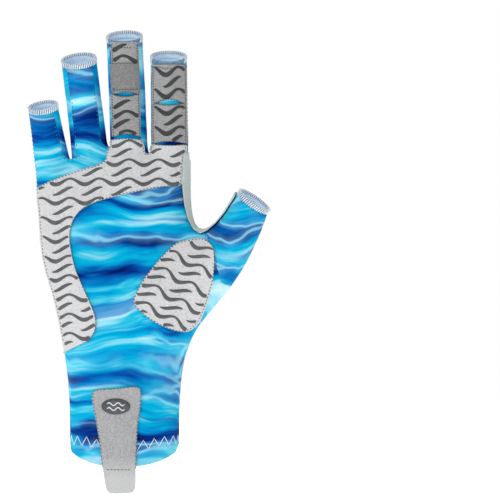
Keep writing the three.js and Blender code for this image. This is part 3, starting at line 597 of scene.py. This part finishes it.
def patch(name, outline, look, node, side=-1, base=0.0, surface=on_skin, cell=1.7):
    """A piece of leather cut to an outline and sewn onto the glove, its edge pressed down and its middle a little
    raised. Returns a search tree of its surface."""
    bm, face = flat_face(outline)
    level = {v: 0 for v in face.verts}
    for i in range(1, len(RINGS)):
        bmesh.ops.inset_region(bm, faces=[face], thickness=RINGS[i] - RINGS[i - 1], use_even_offset=True)
        for v in face.verts:
            level[v] = i
    centre = {face}
    for axis, index in ((Vector((1, 0, 0)), 0), (Vector((0, 0, 1)), 2)):
        reach = [v.co[index] for f in centre for v in f.verts]
        at, high = min(reach) + cell, max(reach)
        while at < high:
            parts = set(centre)
            for f in centre:
                parts.update(f.edges)
                parts.update(f.verts)
            cut = bmesh.ops.bisect_plane(bm, geom=list(parts), plane_co=axis * at, plane_no=axis, dist=1e-5)
            centre = {g for g in cut["geom"] if isinstance(g, bmesh.types.BMFace)}
            at += cell
    bmesh.ops.triangulate(bm, faces=[f for f in bm.faces if len(f.verts) > 4])
    for v in bm.verts:
        v.co, _ = surface(v.co.x, v.co.z, side, base + RING_LIFT[level.get(v, len(RINGS) - 1)])
    face_out(bm, side)
    tree = BVHTree.FromBMesh(bm)
    piece = new_piece(name, bm, [look])
    thicken(piece, 0.75)
    soft = piece.modifiers.new("soft_cut_edge", "BEVEL")
    soft.width = 0.15 * MM
    soft.segments = 2
    soft.angle_limit = math.radians(50)
    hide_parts(node)
    return tree


def stitch(bm, place, along, normal, length, radius):
    """One short stitch: a small rounded lozenge lying on the surface."""
    across = normal.cross(along).normalized()
    turn = Matrix((along.normalized(), across, normal)).transposed().to_4x4()
    size = Matrix.Diagonal((length / 2, radius, radius * 0.8, 1))
    bmesh.ops.create_icosphere(bm, subdivisions=1, radius=1, matrix=Matrix.Translation(place) @ turn @ size)


def stitch_along(bm, path, pitch=1.9, length=1.35, radius=0.28):
    """Stitches a pitch apart, in millimetres, along a run of (place, normal)."""
    due = pitch * MM / 2
    for (a, na), (b, nb) in zip(path, path[1:]):
        run = (b - a).length
        while due < run:
            t = due / run
            stitch(bm, a.lerp(b, t), (b - a), na.lerp(nb, t).normalized(), length * MM, radius * MM)
            due += pitch * MM
        due -= run


def inner_outline(outline, inset):
    """The outline moved inwards, in millimetres."""
    bm, face = flat_face(outline)
    bmesh.ops.inset_region(bm, faces=[face], thickness=inset, use_even_offset=True)
    made = [(v.co.x, v.co.z) for v in face.verts]
    bm.free()
    return made


def stitch_outline(bm, outline, tree, inset=1.5, side=-1, keep=lambda x, z: True, **sizes):
    """A row of stitches on a patch, inside its outline. keep says where the row goes."""
    run = []
    ring = inner_outline(outline, inset)
    for x, z in ring + ring[:1]:
        if keep(x, z):
            run.append(on(tree, x, z, side, 0.08))
        else:
            stitch_along(bm, run, **sizes)
            run = []
    stitch_along(bm, run, **sizes)


def sweep(bm, stops, section):
    """Draws a closed section along stops of (place, normal, width, height), in metres."""
    face = None
    for i, (place, normal, width, height) in enumerate(stops):
        along = (stops[min(i + 1, len(stops) - 1)][0] - stops[max(i - 1, 0)][0]).normalized()
        across = along.cross(normal).normalized()
        up = across.cross(along)
        ring = [place + across * (x * width) + up * (y * height) for x, y in section]
        if face is None:
            face = bm.faces.new([bm.verts.new(point) for point in ring])
        else:
            grown = bmesh.ops.extrude_face_region(bm, geom=[face])["geom"]
            if i > 1:  # only the first end stays
                bmesh.ops.delete(bm, geom=[face], context="FACES_ONLY")
            face = next(part for part in grown if isinstance(part, bmesh.types.BMFace))
            for vert, point in zip(face.verts, ring):
                vert.co = point


BEAD = [(-1, -0.35), (-0.66, 0.8), (0, 1), (0.66, 0.8), (1, -0.35)]  # a printed bead of silicone, flat underneath
THREAD = [(math.cos(math.radians(72 * i)), math.sin(math.radians(72 * i))) for i in range(5)]


def closed_piece(name, bm, look):
    bmesh.ops.recalc_face_normals(bm, faces=bm.faces)
    return new_piece(name, bm, [look])


def grip_lines(outline, tree, start, turn, period, pitch, swing):
    """Centre lines of the printed grip as runs of (x, z, half width): long waves a pitch apart, and between two of
    them short dashes that taper at both ends. start is where a wave rises through its middle."""
    turn = math.radians(turn)
    reach = max(math.dist(start, point) for point in outline)
    rows = math.ceil(reach / pitch)
    waves = math.ceil(reach / period)
    lines = []
    for row in range(-rows, rows + 1):
        steps = range(int(-waves * period / 0.6), int(waves * period / 0.6) + 1)
        lines.append([(0.6 * s, row * pitch + swing * math.sin(2 * math.pi * 0.6 * s / period),
                       0.94 - 0.28 * math.sin(2 * math.pi * 0.6 * s / period)) for s in steps])
        for wave in range(-waves, waves + 1):
            lines.append([(wave * period + 0.36 * period * s / 12,
                           (row + 0.5) * pitch + swing * 1.3 * math.sin(math.pi * s / 22),
                           1.06 * (1 - (s / 12.8) ** 2) ** 0.75) for s in range(-12, 13)])
    made = []
    for line in lines:
        run = []
        for p, q, width in line:
            x = start[0] + p * math.cos(turn) - q * math.sin(turn)
            z = start[1] + p * math.sin(turn) + q * math.cos(turn)
            faces_out = (under(tree, x, z, -1)[1] or Vector()).y < -0.3
            if faces_out and inside(x, z, outline) and edge_distance(x, z, outline) > 0.35:
                run.append((x, z, width))
                continue
            made.append(run)
            run = []
        made.append(run)
    return [run for run in made if len(run) > 7]


def print_grip(name, outline, tree, layout, look=silicone, bold=1.0):
    """Raised silicone waves on a patch."""
    bm = bmesh.new()
    for run in grip_lines(outline, tree, *layout):
        stops = []
        for i, (x, z, width) in enumerate(run):
            place, normal = on(tree, x, z, -1, 0.02)
            ends = min(1.0, 0.7 + 0.3 * min(i, len(run) - 1 - i))
            stops.append((place, normal, width * bold * ends * MM, 0.4 * ends * MM))
        sweep(bm, stops, BEAD)
    return closed_piece(name, bm, look)


def shares(rows):
    return [(x * PALM_WIDTH, z * BODY_HEIGHT) for x, z in rows]


PALM_PATCH = pulled_in(smooth_outline(shares([
    (-0.600, 0.868), (-0.579, 0.883), (-0.490, 0.907), (-0.387, 0.927), (-0.264, 0.948), (-0.161, 0.963),
    (-0.118, 0.979), (-0.110, 1.002), (-0.092, 1.022), (-0.084, 1.040), (-0.070, 1.046), (-0.044, 1.047),
    (0.020, 1.049), (0.072, 1.047), (0.104, 1.043), (0.112, 1.036), (0.122, 1.018), (0.131, 1.000), (0.149, 0.996),
    (0.168, 1.003), (0.175, 1.018), (0.185, 1.030), (0.233, 1.028), (0.310, 1.027), (0.362, 1.029), (0.392, 1.029),
    (0.393, 1.012), (0.376, 0.987), (0.366, 0.950), (0.362, 0.903), (0.352, 0.898), (0.229, 0.892), (0.075, 0.876),
    (-0.079, 0.858), (-0.181, 0.843), (-0.264, 0.822), (-0.315, 0.794), (-0.340, 0.761), (-0.345, 0.725),
    (-0.336, 0.691), (-0.305, 0.629), (-0.253, 0.568), (-0.202, 0.512), (-0.176, 0.471), (-0.181, 0.435),
    (-0.222, 0.404), (-0.302, 0.383), (-0.398, 0.360), (-0.404, 0.362), (-0.432, 0.440), (-0.460, 0.520),
    (-0.492, 0.590), (-0.520, 0.640), (-0.555, 0.700), (-0.578, 0.780),
])))
THENAR_PATCH = pulled_in(smooth_outline(shares([
    (0.411, 0.720), (0.513, 0.724), (0.574, 0.701), (0.584, 0.665), (0.578, 0.616), (0.552, 0.558), (0.494, 0.478),
    (0.452, 0.448), (0.395, 0.431), (0.315, 0.437), (0.206, 0.462), (0.111, 0.497), (0.072, 0.524), (0.117, 0.580),
    (0.185, 0.629), (0.264, 0.676), (0.340, 0.710),
])))
STRAP = smooth_outline(shares([
    (-0.195, 0.226), (-0.188, 0.239), (-0.166, 0.244), (-0.044, 0.249), (0.087, 0.254), (0.107, 0.248),
    (0.113, 0.235), (0.109, 0.194), (0.092, 0.132), (0.085, 0.056), (0.082, 0.001), (0.078, -0.067),
    (0.067, -0.078), (0.045, -0.082), (-0.070, -0.084), (-0.092, -0.081), (-0.106, -0.070), (-0.130, 0.001),
    (-0.149, 0.082), (-0.174, 0.158), (-0.192, 0.204),
]))

grey_rows = bmesh.new()
palm_tree = patch("palm_leather", PALM_PATCH, grey_suede, node="palm_patch")
stitch_outline(grey_rows, PALM_PATCH, palm_tree, keep=lambda x, z: z > 67)
print_grip("palm_grip_waves", PALM_PATCH, palm_tree, ((-1.2, 154.7), 0, 16.0, 10.5, 1.6))
thenar_tree = patch("thenar_leather", THENAR_PATCH, grey_suede, node="thenar_patch")
stitch_outline(grey_rows, THENAR_PATCH, thenar_tree)
print_grip("thenar_grip_waves", THENAR_PATCH, thenar_tree, ((23.8, 81.4), -28, 16.0, 10.5, 1.7))

# Leather on the index and middle finger: the finger's middle, half width and lean; the left and right edge as shares
# of the half width; the low edge, its bow, the high edge and its bow as shares of FINGER_LENGTH; and the print's
# start, turn, period, pitch and swing.
INDEX, MIDDLE = (24.33, 10.41, 0.0), (2.29, 10.53, 1.8)
FINGER_LEATHER = [
    ("index_tip", INDEX, (-0.8, 0.88), (0.461, -0.028, 0.752, 0.0), ((26.4, 214.8), 0, 13.6, 11.8, 2.1)),
    ("index_middle", INDEX, (-0.82, 0.88), (0.106, -0.013, 0.414, 0.018), ((26.9, 193.8), 0, 14.5, 10.9, 1.9)),
    ("middle_tip", MIDDLE, (-0.63, 0.66), (0.522, -0.014, 0.938, 0.0), ((-4.1, 221.0), 0, 17.0, 10.5, 1.8)),
    ("middle_middle", MIDDLE, (-0.75, 0.62), (0.17, -0.02, 0.485, 0.02), ((-2.6, 191.3), 0, 17.0, 10.5, 1.8)),
]


def finger_outline(finger, sides, edges):
    """The outline of a piece of finger leather, which leans as the finger does."""
    middle, half, lean = finger
    left, right = sides
    low, low_bow, high, high_bow = edges
    steps = 14

    def corner(t, level, bow):
        x = middle - math.tan(math.radians(lean)) * level * FINGER_LENGTH
        x += half * (left + (right - left) * (t + 1) / 2)
        return x, BODY_HEIGHT + (level + bow * min(1.0, (t / 0.82) ** 2)) * FINGER_LENGTH

    across = [2 * i / steps - 1 for i in range(steps + 1)]
    bottom = [corner(t, low, low_bow) for t in across]
    top = [corner(t, high, high_bow) for t in reversed(across)]
    rises = round((top[0][1] - bottom[-1][1]) / 1.2)
    up = [tuple(Vector(bottom[-1]).lerp(Vector(top[0]), i / rises)) for i in range(1, rises)]
    down = [tuple(Vector(top[-1]).lerp(Vector(bottom[0]), i / rises)) for i in range(1, rises)]
    return pulled_in(bottom + up + top + down, facing=0.3)


dark_rows = bmesh.new()
# the finger leather uses the darkened grey, which is painted shade on the fingers
for name, finger, sides, edges, layout in FINGER_LEATHER:
    outline = finger_outline(finger, sides, edges)
    tree = patch(f"{name}_leather", outline, finger_suede_painted_shade, node=f"{name}_patch", cell=1.3)
    stitch_outline(dark_rows, outline, tree, inset=1.1, pitch=1.5, length=1.0, radius=0.36)
    print_grip(f"{name}_grip_waves", outline, tree, layout, dark_silicone, 1.2)
BAND = finger_outline(MIDDLE, (-0.65, 0.6), (0.541, 0.0, 0.764, 0.0))
band_tree = patch("middle_pull_band_leather", BAND, band_suede, base=1.1, node="middle_pull_band", cell=1.3)
stitch_outline(dark_rows, BAND, band_tree, inset=1.1, keep=lambda x, z: z < 206.5, pitch=1.5, length=1.0, radius=0.36)
closed_piece("finger_leather_stitches", dark_rows, dark_thread)

strap_tree = patch("pull_strap_leather", STRAP, strap_suede, surface=on_strap, node="pull_strap")
stitch_outline(grey_rows, STRAP, strap_tree, inset=1.7, keep=lambda x, z: z > -1)
stitch_along(grey_rows, [on(strap_tree, x, -1.4, -1, 0.08) for x in range(-9, 6)])
closed_piece("leather_stitches", grey_rows, grey_thread)


def oval(x, z, width, height, steps):
    return [(x + width / 2 * math.cos(2 * math.pi * i / steps), z + height / 2 * math.sin(2 * math.pi * i / steps))
            for i in range(steps)]


def drawn_line(bm, tree, points, side, width, height):
    """A raised line through points of (x, z) on a patch."""
    stops = []
    for i, (x, z) in enumerate(points):
        place, normal = on(tree, x, z, side, 0.02)
        ends = min(1.0, 0.4 + 0.35 * min(i, len(points) - 1 - i))
        stops.append((place, normal, width * ends * MM, height * MM))
    sweep(bm, stops, BEAD)


# The strap's mark: an oval of the same silicone with two plain ripples in it, in place of a maker's sign.
MARK = oval(-3.8, 32.8, 15.7, 8.7, 40)
bm, face = flat_face(MARK)
bmesh.ops.inset_region(bm, faces=[face], thickness=0.35, use_even_offset=True)
rim = {v for v in bm.verts} - set(face.verts)
bmesh.ops.poke(bm, faces=[face])
for v in bm.verts:
    v.co, _ = on(strap_tree, v.co.x, v.co.z, -1, 0.02 if v in rim else 0.3)
face_out(bm, -1)
thicken(new_piece("strap_mark", bm, [silicone]), 0.3)
bm = bmesh.new()
for drop in (0, 2.6):
    ripple = [(-8.6 + 0.4 * i, 34.0 - drop + 0.8 * math.sin(0.4 * i / 9.6 * 4 * math.pi)) for i in range(25)]
    drawn_line(bm, strap_tree, ripple, -1, 0.42, 0.5)
closed_piece("strap_mark_ripples", bm, pale_rubber)

# The badge on the back: an oval of leather, a moulded plate and plain ripples in place of a maker's sign.
BADGE_X, BADGE_Z = -4.1, 49.5
BADGE = oval(BADGE_X, BADGE_Z, 47, 25, 110)
PLATE = oval(BADGE_X, BADGE_Z, 39, 17, 90)
badge_tree = patch("badge_leather", BADGE, web_suede, side=1, node="badge_backing")
plate_tree = patch("badge_rubber_plate", PLATE, navy_rubber, side=1, base=0.9, node="badge_plate")
bm = bmesh.new()
stitch_outline(bm, BADGE, badge_tree, inset=1.7, side=1)
closed_piece("badge_stitches", bm, pale_thread)
bm = bmesh.new()
for row, (reach, level) in enumerate(((10, 3.4), (13.5, 0), (10, -3.4))):
    ripple = [(BADGE_X + x, BADGE_Z + level + math.sin(x / 9 * 2 * math.pi + row))
              for x in (reach * t / 30 for t in range(-30, 31))]
    drawn_line(bm, plate_tree, ripple, 1, 0.7, 0.55)
closed_piece("badge_ripples", bm, pale_rubber)

# The leather over the web of the thumb follows both sides of the hand, so it is made from the CAD piece itself.
bm = merged_copy("thumb_web_patch")
for _ in range(3):
    long_edges = [e for e in bm.edges if e.calc_length() > 1.6 * MM]
    bmesh.ops.subdivide_edges(bm, edges=long_edges, cuts=1, use_grid_fill=True)
    bmesh.ops.triangulate(bm, faces=[f for f in bm.faces if len(f.verts) > 3])
for _ in range(3):
    bmesh.ops.smooth_vert(bm, verts=bm.verts, factor=0.4, use_axis_x=True, use_axis_y=True, use_axis_z=True)
web_top = max(v.co.z for v in bm.verts if v.co.y < -2 * MM)
for v in bm.verts:  # its end on the palm side reaches 4 mm further up the index finger
    if v.co.y < -2 * MM:
        v.co.z += 4 * MM * max(0.0, 1 - (web_top - v.co.z) / (25 * MM)) ** 2
web_tree = BVHTree.FromBMesh(bm)
web = new_piece("thumb_web_leather", bm, [web_suede])
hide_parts("thumb_web_patch")
WEB_ON_BACK = smooth_outline(shares([
    (0.85, 0.9), (0.833, 0.856), (0.81, 0.802), (0.769, 0.75), (0.728, 0.709), (0.681, 0.677), (0.623, 0.651),
    (0.565, 0.638), (0.506, 0.64), (0.454, 0.651), (0.407, 0.677), (0.39, 0.715), (0.387, 0.756), (0.386, 0.816),
    (0.388, 0.889), (0.388, 0.951), (0.388, 0.982), (0.546, 0.986), (0.729, 0.98),
]))
bm = bmesh.new()
stitch_outline(bm, WEB_ON_BACK, web_tree, inset=1.8, side=1, radius=0.42,
               keep=lambda x, z: z < 160 and under(web_tree, x, z, 1)[0])
closed_piece("thumb_web_stitches", bm, dark_thread)


def runs_of(edges):
    """Edges joined end to end into runs of vertices. Where a run can go on in several ways, it turns the least."""
    left, runs = {e: True for e in edges}, []
    for first in list(left):
        if not left.pop(first, False):
            continue
        run = list(first.verts)
        for grow in (1, 0):
            while True:
                tip, before = (run[-1], run[-2]) if grow else (run[0], run[1])
                ahead = (tip.co - before.co).normalized()
                ways = [(ahead.dot((e.other_vert(tip).co - tip.co).normalized()), e.index, e)
                        for e in tip.link_edges if e in left]
                if not ways:
                    break
                following = max(ways)[2]
                del left[following]
                run.insert(len(run) if grow else 0, following.other_vert(tip))
        runs.append(run)
    return runs


def overlocked_edge(name):
    """A finger's open end, whipped all round with loops of thread over a binding."""
    node = f"{name}_edge_binding"
    bm = merged_copy(node)
    bm.edges.index_update()
    rims = [run for run in runs_of(sharp_edges(bm, 50)) if len(run) > 8]
    loops = [[v.co.copy() for v in rim] for rim in rims]
    centres = [sum(loop, Vector()) / len(loop) for loop in loops]
    far = max(centres, key=lambda c: (c - Vector((0, 0, 0.1))).length)
    near = min(centres, key=lambda c: (c - Vector((0, 0, 0.1))).length)
    axis = (far - near).normalized()
    middle = (far + near) / 2
    first = axis.orthogonal().normalized()
    second = axis.cross(first)
    ends = [[], []]
    for loop, centre in zip(loops, centres):
        ends[(centre - middle).dot(axis) > 0].append(loop)

    def size_of(loop):
        return sum((p - middle - axis * (p - middle).dot(axis)).length for p in loop) / len(loop)

    outer_low, outer_top = (max(end, key=size_of) for end in ends)
    inner_low, inner_top = (min(end, key=size_of) for end in ends)

    def at(loop, angle):
        """The loop's point in one direction from the finger's middle."""
        marks = sorted((math.atan2((p - middle).dot(second), (p - middle).dot(first)), i) for i, p in enumerate(loop))
        angle = (angle + math.pi) % (2 * math.pi) - math.pi
        after = next((k for k, (a, _) in enumerate(marks) if a > angle), 0)
        (a0, i0), (a1, i1) = marks[after - 1], marks[after]
        span = (a1 - a0) % (2 * math.pi)
        return loop[i0].lerp(loop[i1], ((angle - a0) % (2 * math.pi)) / span if span > 1e-9 else 0)

    # the rolled edge is thinner than the solid: its inner side moves out to leave a wall of about 1 mm
    for rim, loop in zip(rims, loops):
        if loop is inner_low or loop is inner_top:
            outer = outer_low if loop is inner_low else outer_top
            for vert in rim:
                spoke = vert.co - middle
                vert.co = vert.co.lerp(at(outer, math.atan2(spoke.dot(second), spoke.dot(first))), 0.4)
                if loop is inner_low:
                    vert.co -= axis * 1.5 * MM
            loop[:] = [v.co.copy() for v in rim]
    bmesh.ops.bevel(bm, geom=sharp_edges(bm, 50), offset=0.25 * MM, segments=2, profile=0.5, affect="EDGES",
                    material=-1)
    # the rolled edge reaches 1.4 mm down inside, level with the slanting rim, and below it the lining shows
    hub = sum(inner_top, Vector()) / len(inner_top)
    slant = sum(((a - hub).cross(b - hub) for a, b in zip(inner_top, inner_top[1:])), Vector()).normalized()
    slant *= math.copysign(1, slant.dot(axis))
    whipped = hub - slant * 1.4 * MM
    bmesh.ops.bisect_plane(bm, geom=bm.verts[:] + bm.edges[:] + bm.faces[:], plane_co=whipped, plane_no=slant,
                           dist=1e-6)
    # material 1 is the rolled edge with its painted shade, and 2 is the lining with its painted glow
    for rolled in bm.faces:
        centre = rolled.calc_center_median()
        spoke = centre - middle
        spoke -= axis * spoke.dot(axis)
        is_inside = rolled.normal.dot(spoke.normalized()) < -0.3
        rolled.material_index = 2 if is_inside and (centre - whipped).dot(slant) < 0 else 1
    around = 2 * math.pi * size_of(outer_top) / MM
    count = round(around / 1.35)
    covered = name in ("index", "middle")
    for i in range(count):
        a0, a1, a2 = (2 * math.pi * (i + k / 2) / count for k in range(3))
        low, top, inner, foot = at(outer_low, a0), at(outer_top, a1), at(inner_top, a1), at(inner_low, a2)
        outward = (top - middle - axis * (top - middle).dot(axis)).normalized()
        if covered and outward.y < -0.45:
            continue
        run = [low + outward * 0.02 * MM,
               low.lerp(top, 0.5) + outward * 0.1 * MM,
               top + (outward + axis) * 0.03 * MM,
               top.lerp(inner, 0.5) + axis * 0.12 * MM,
               inner + (axis - outward) * 0.03 * MM,
               inner.lerp(foot, 0.25) - outward * 0.08 * MM,
               inner.lerp(foot, 0.42) + outward * 0.05 * MM]
        heart = (at(outer_low, a1) + inner) / 2
        sweep(bm, [(p, (p - heart).normalized(), 0.36 * MM, 0.26 * MM) for p in run], THREAD)
    bmesh.ops.recalc_face_normals(bm, faces=bm.faces)
    piece = new_piece(f"{name}_overlocked_edge", bm, [pale_thread, rolled_edge_painted_shade, lining_with_painted_glow])
    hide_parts(node)


for name in FINGER_NAMES:
    overlocked_edge(name)


def cloth_edges(piece):
    """The open edges of a cloth panel as runs of (place, normal), with the row 0.9 mm in from the edge."""
    bm = copy_of(piece)
    bm.normal_update()
    bm.edges.index_update()
    runs = [[(vert.co + inward(vert) * 0.9 * MM + vert.normal * 0.1 * MM, vert.normal.copy()) for vert in run]
            for run in runs_of([e for e in bm.edges if len(e.link_faces) == 1])]
    bm.free()
    return runs


# Rows of stitches along the seams of the fingers and the thumb, where two panels meet.
bm = bmesh.new()
rims = [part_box(f"{name}_edge_binding") for name in FINGER_NAMES]


def at_rim(place):
    return any(all(low[i] - 0.0025 < place[i] < high[i] + 0.0025 for i in range(3)) for low, high in rims)


for node in ("palm_panel", "back_panel", "thumb_sleeve"):
    for path in cloth_edges(cloth[node]):
        run = []
        for place, normal in path:
            if place.z > 0.11 and not at_rim(place):
                run.append((place, normal))
            else:
                stitch_along(bm, run, pitch=2.3, length=1.2, radius=0.23)
                run = []
        stitch_along(bm, run, pitch=2.3, length=1.2, radius=0.23)
closed_piece("seam_stitches", bm, blue_thread)

# The hem is sewn with a white zigzag: how far above the cuff's edge it starts, its height and its pitch, in mm.
ZIGZAG_FOOT, ZIGZAG_HEIGHT, ZIGZAG_PITCH = 8.5, 5, 6.6
bm = bmesh.new()


def cuff_point(angle, z):
    """The cuff's surface at an angle round the wrist and a height in millimetres."""
    for aside in (0, 0.012, -0.012, 0.025, -0.025):  # past the seam between two panels
        away = Vector((math.cos(angle + aside), math.sin(angle + aside), 0))
        place, normal, _, _ = glove_skin.ray_cast(Vector((0, 0, z * MM)) + away * 0.2, -away)
        if place is not None:
            break
    return place, normal


points = []
turns = 240
for i in range(turns + 1):
    angle = 2 * math.pi * i / turns
    edge = min(2.5, next(z / 2 for z in range(-6, 40) if cuff_point(angle, z / 2)[0] is not None))
    points.append((angle, edge))
lengths = [0.0]
for (a, za), (b, zb) in zip(points, points[1:]):
    lengths.append(lengths[-1] + (cuff_point(a, za + 10)[0] - cuff_point(b, zb + 10)[0]).length / MM)
zigs = 2 * round(lengths[-1] / ZIGZAG_PITCH)
stops = []
for i in range(zigs * 4 + 1):
    share = i / 4 % 1
    due = lengths[-1] * i / (zigs * 4)
    k = max(j for j in range(len(lengths)) if lengths[j] <= due + 1e-9)
    k = min(k, turns - 1)
    t = (due - lengths[k]) / (lengths[k + 1] - lengths[k])
    angle, edge = (points[k][j] + (points[k + 1][j] - points[k][j]) * t for j in (0, 1))
    rise = share if (i // 4) % 2 == 0 else 1 - share
    place, normal = cuff_point(angle, edge + ZIGZAG_FOOT + ZIGZAG_HEIGHT * rise)
    if place is None or (place.y < 0 and inside(place.x / MM, place.z / MM, STRAP)):
        if len(stops) > 1:
            sweep(bm, stops, THREAD)
        stops = []
    else:
        stops.append((place + normal * 0.1 * MM, normal, 0.22 * MM, 0.2 * MM))
if len(stops) > 1:
    sweep(bm, stops, THREAD)
closed_piece("hem_zigzag", bm, pale_thread)
